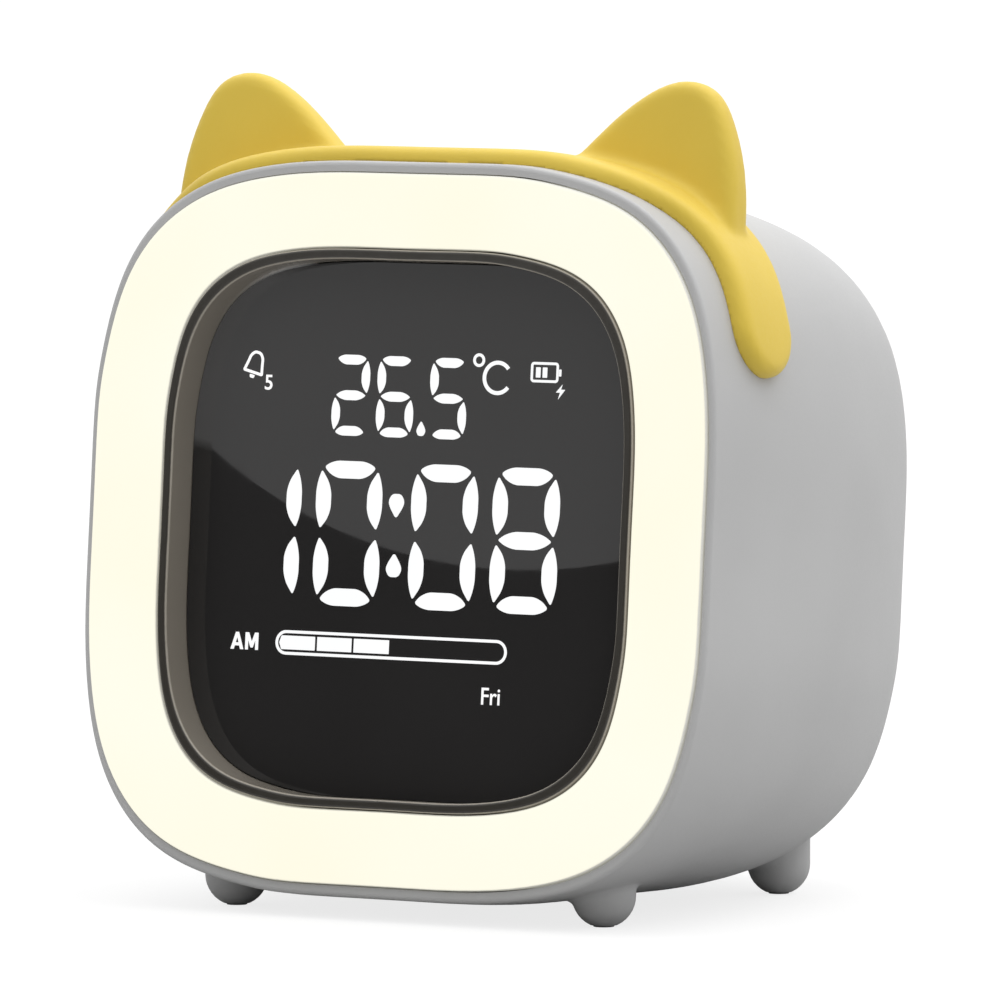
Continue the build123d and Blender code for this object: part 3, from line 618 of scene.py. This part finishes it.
def finish_readout(name, shape):
    """Gives the flat strokes a little body and sets them on the lens."""
    bmesh.ops.recalc_face_normals(shape, faces=shape.faces)
    for face in shape.faces:
        if face.normal.z < 0:
            face.normal_flip()
    bmesh.ops.solidify(shape, geom=shape.faces[:], thickness=STROKE_BODY)
    bmesh.ops.recalc_face_normals(shape, faces=shape.faces)
    bmesh.ops.transform(shape, matrix=on_face(LENS_DEPTH - STROKE_LIFT - STROKE_BODY), verts=shape.verts)
    place_piece(name, settled_mesh(name, shape), READOUT_WHITE, "housing")


def add_letter(shape, parts, left, foot):
    """Adds a bold letter made of flat parts, with its left foot at a point."""
    for corners in parts:
        shape.faces.new([shape.verts.new((left + x, foot + y, 0.0)) for x, y in corners])


def add_word(shape, text, left, foot, size, weight, squeeze=1.0):
    """Adds a short printed word with its left foot at a point, in a plain built-in face."""
    lettering = bpy.data.curves.new("lettering", "FONT")
    lettering.body = text
    lettering.size = size
    lettering.offset = weight
    lettering.resolution_u = 6
    draft = bpy.data.objects.new("lettering", lettering)
    scene.collection.objects.link(draft)
    letters = bpy.data.meshes.new_from_object(draft.evaluated_get(bpy.context.evaluated_depsgraph_get()))
    bpy.data.objects.remove(draft)
    start = min(v.co.x for v in letters.vertices)
    letters.transform(Matrix.Translation((left, foot, 0.0)) @ Matrix.Diagonal((squeeze, 1.0, 1.0, 1.0))
                      @ Matrix.Translation((-start, 0.0, 0.0)))
    shape.from_mesh(letters)
    bpy.data.meshes.remove(letters)


time_shape = bmesh.new()
for sign, centre in zip(TIME_TEXT, TIME_CENTRES):
    digit(time_shape, sign, centre, TIME_MIDDLE, 1.0)
for round_end, point_end in COLON_DROPS:
    drop(time_shape, COLON_X, round_end, point_end, COLON_WIDTH)
finish_readout("time_readout", time_shape)

warmth_shape = bmesh.new()
for sign, centre in zip(SMALL_TEXT, SMALL_CENTRES):
    digit(warmth_shape, sign, centre, SMALL_MIDDLE, SMALL_SCALE)
drop(warmth_shape, POINT_X, *POINT_DROP, POINT_WIDTH)
round_sign(warmth_shape, DEGREE_PLACE, DEGREE_RADIUS, DEGREE_WALL, 28)
round_sign(warmth_shape, LETTER_C_PLACE, LETTER_C_RADIUS, LETTER_C_WALL, 48)
gap = []
for face in warmth_shape.faces:
    middle = face.calc_center_median()
    right, up = middle.x - LETTER_C_PLACE[0], middle.y - LETTER_C_PLACE[1]
    if right > LETTER_C_GAP[0] and abs(up) < LETTER_C_GAP[1]:
        gap.append(face)
bmesh.ops.delete(warmth_shape, geom=gap, context="FACES")
finish_readout("temperature_readout", warmth_shape)

LIGHTNING = ((19.1, 17.5), (18.25, 16.55), (18.8, 16.55), (18.55, 15.75), (19.45, 16.9), (18.9, 16.9))
charge_shape = bmesh.new()
frame_plate(charge_shape, box(14.84, 17.64, 18.5, 19.98), 0.42, 0.3)
plate(charge_shape, box(18.55, 18.4, 18.86, 19.2), 0.08)
for left in CHARGE_BLOCK_LEFTS:
    plate(charge_shape, box(left, 18.2, left + CHARGE_BLOCK_WIDTH, 19.38), 0.05)
plate(charge_shape, LIGHTNING, 0.03)
finish_readout("charge_readout", charge_shape)

FIRST_BLOCK = (
    (-17.0, (BAR_BLOCK_FOOT + BAR_BLOCK_TOP) / 2),
    (-16.7, BAR_BLOCK_FOOT),
    (-12.2, BAR_BLOCK_FOOT),
    (-12.2, BAR_BLOCK_TOP),
    (-16.7, BAR_BLOCK_TOP),
)
bar_shape = bmesh.new()
frame_plate(bar_shape, box(-17.5, -14.88, 13.35, -12.04), 1.41, 0.34)
plate(bar_shape, FIRST_BLOCK, 0.1)
for left, right in BAR_BLOCKS:
    plate(bar_shape, box(left, BAR_BLOCK_FOOT, right, BAR_BLOCK_TOP), 0.04)
finish_readout("day_bar_readout", bar_shape)

BELL = ((-1.42, -1.1), (1.42, -1.1), (1.12, 0.2), (0.98, 1.0), (0.45, 1.6), (-0.45, 1.6), (-0.98, 1.0),
        (-1.12, 0.2))
CLAPPER = ((-0.36, -1.22), (0.36, -1.22), (0.25, -1.62), (-0.25, -1.62))
bell_shape = bmesh.new()
frame_plate(bell_shape, BELL, 0.3, 0.33)
plate(bell_shape, CLAPPER, 0.12)
bell_matrix = Matrix.Translation(BELL_PLACE) @ Matrix.Rotation(BELL_TILT, 4, "Z")
bmesh.ops.transform(bell_shape, matrix=bell_matrix, verts=bell_shape.verts)
add_word(bell_shape, "5", -20.5, 15.75, 2.45, 0.03)
finish_readout("alarm_readout", bell_shape)

LETTER_A = (
    ((0.0, 0.0), (0.67, 2.0), (1.08, 2.0), (1.75, 0.0), (1.31, 0.0), (0.875, 1.42), (0.44, 0.0)),
    ((0.569, 0.42), (1.181, 0.42), (1.071, 0.78), (0.679, 0.78)),
)
LETTER_M = (
    ((0.0, 0.0), (0.0, 2.0), (0.48, 2.0), (0.875, 0.95), (1.27, 2.0), (1.75, 2.0), (1.75, 0.0),
     (1.36, 0.0), (1.36, 1.15), (1.02, 0.25), (0.73, 0.25), (0.39, 1.15), (0.39, 0.0)),
)
word_shape = bmesh.new()
add_letter(word_shape, LETTER_A, LETTER_A_LEFT, LETTER_FOOT)
add_letter(word_shape, LETTER_M, LETTER_M_LEFT, LETTER_FOOT)
add_word(word_shape, "Fri", 10.25, -19.5, 2.8, 0.02, 0.9)
finish_readout("day_words_readout", word_shape)


# Stage, light and camera

def pale_floor():
    """A pale floor that the camera sees as white, with the shadow kept; it bounces little light."""
    shape = bmesh.new()
    bmesh.ops.create_grid(shape, x_segments=1, y_segments=1, size=FLOOR_HALF)
    floor = bpy.data.objects.new("pale_floor", settled_mesh("pale_floor", shape))
    scene.collection.objects.link(floor)
    finish = bpy.data.materials.new("pale_floor")
    tree = empty_tree(finish)
    make, link = tree.nodes.new, tree.links.new
    out = make("ShaderNodeOutputMaterial")
    paint = make("ShaderNodeBsdfDiffuse")
    tone = make("ShaderNodeMapRange")
    tone.inputs["To Min"].default_value = FLOOR_BOUNCE
    tone.inputs["To Max"].default_value = FLOOR_TONE
    white = make("ShaderNodeEmission")
    white.inputs["Strength"].default_value = FLOOR_GLOW
    path = make("ShaderNodeLightPath")
    share = make("ShaderNodeMath")
    share.operation = "MULTIPLY"
    share.inputs[1].default_value = FLOOR_GLOW_SHARE
    mix = make("ShaderNodeMixShader")
    link(path.outputs["Is Camera Ray"], tone.inputs["Value"])
    link(tone.outputs["Result"], paint.inputs["Color"])
    link(path.outputs["Is Camera Ray"], share.inputs[0])
    link(share.outputs["Value"], mix.inputs["Fac"])
    link(paint.outputs["BSDF"], mix.inputs[1])
    link(white.outputs["Emission"], mix.inputs[2])
    link(mix.outputs["Shader"], out.inputs["Surface"])
    floor.data.materials.append(finish)


def studio_world():
    """White to the camera; to the object a light tent, bright above and to the right, dim in front."""
    world = bpy.data.worlds.new("studio_world")
    scene.world = world
    tree = empty_tree(world)
    make, link = tree.nodes.new, tree.links.new
    out = make("ShaderNodeOutputWorld")
    white = make("ShaderNodeBackground")
    tent = make("ShaderNodeBackground")
    place = make("ShaderNodeTexCoord")
    towards = make("ShaderNodeVectorMath")
    towards.operation = "DOT_PRODUCT"
    towards.inputs[1].default_value = TENT_SIDE
    level = make("ShaderNodeMapRange")
    level.inputs["From Min"].default_value = TENT_SPAN[0]
    level.inputs["From Max"].default_value = TENT_SPAN[1]
    level.inputs["To Min"].default_value = TENT_LEVEL[0]
    level.inputs["To Max"].default_value = TENT_LEVEL[1]
    path = make("ShaderNodeLightPath")
    through = make("ShaderNodeMath")
    through.operation = "MAXIMUM"
    mix = make("ShaderNodeMixShader")
    link(place.outputs["Generated"], towards.inputs[0])
    link(towards.outputs["Value"], level.inputs["Value"])
    link(level.outputs["Result"], tent.inputs["Strength"])
    link(path.outputs["Is Camera Ray"], through.inputs[0])
    link(path.outputs["Is Transmission Ray"], through.inputs[1])
    link(through.outputs["Value"], mix.inputs["Fac"])
    link(tent.outputs["Background"], mix.inputs[1])
    link(white.outputs["Background"], mix.inputs[2])
    link(mix.outputs["Shader"], out.inputs["Surface"])


def mirrored_disc(name, radius, distance, glow):
    """A round studio piece that is seen only in the lens, where the photograph shows its reflection."""
    sight = -CAMERA_BACK
    lens_point = FACE_CENTRE - FACE_OUT * LENS_DEPTH
    reach = (lens_point - CAMERA_PLACE).dot(FACE_OUT) / sight.dot(FACE_OUT)
    away = sight.reflect(FACE_OUT)
    side = away.cross(Vector((0.0, 0.0, 1.0))).normalized()
    rise = side.cross(away)
    whole = reach + distance
    middle = CAMERA_PLACE + sight * reach + away * distance
    middle += (side * DISH_OFFSET[0] + rise * DISH_OFFSET[1]) * whole
    turn = Matrix((side, rise, -away)).transposed().to_4x4()
    shape = bmesh.new()
    bmesh.ops.create_circle(shape, cap_ends=True, segments=96, radius=radius * whole * MM,
                            matrix=Matrix.Translation(middle * MM) @ turn)
    mesh = settled_mesh(name, shape)
    finish = bpy.data.materials.new(name)
    tree = empty_tree(finish)
    out = tree.nodes.new("ShaderNodeOutputMaterial")
    light = tree.nodes.new("ShaderNodeEmission")
    light.inputs["Strength"].default_value = glow
    tree.links.new(light.outputs["Emission"], out.inputs["Surface"])
    mesh.materials.append(finish)
    piece = bpy.data.objects.new(name, mesh)
    scene.collection.objects.link(piece)
    piece.visible_camera = False
    piece.visible_diffuse = False
    piece.visible_shadow = False
    piece.visible_transmission = False


def soft_box(name, place, aim, size, watts):
    """A square soft box that looks at a point."""
    lamp = bpy.data.lights.new(name, "AREA")
    lamp.size = size
    lamp.energy = watts
    piece = bpy.data.objects.new(name, lamp)
    piece.location = place
    piece.rotation_euler = (Vector(aim) - Vector(place)).to_track_quat("-Z", "Y").to_euler()
    scene.collection.objects.link(piece)


def photo_camera():
    """A long lens at the photograph's place."""
    right = Vector((cos(CAMERA_AZIMUTH), sin(CAMERA_AZIMUTH), 0.0))
    view = bpy.data.cameras.new("photo_camera")
    view.sensor_width = SENSOR
    view.lens = CAMERA_LENS
    piece = bpy.data.objects.new("photo_camera", view)
    turn = Matrix((right, CAMERA_BACK.cross(right), CAMERA_BACK)).transposed().to_4x4()
    piece.matrix_world = Matrix.Translation(CAMERA_PLACE * MM) @ turn
    scene.collection.objects.link(piece)
    scene.camera = piece


pale_floor()
studio_world()
mirrored_disc("round_light", DISH_RADIUS, DISH_DISTANCE, DISH_GLOW)
mirrored_disc("black_flag", FLAG_RADIUS, DISH_DISTANCE + FLAG_STEP, 0.0)
soft_box("key_box", KEY_PLACE, KEY_AIM, KEY_SIZE, KEY_WATTS)
photo_camera()
scene.view_settings.view_transform = "Standard"
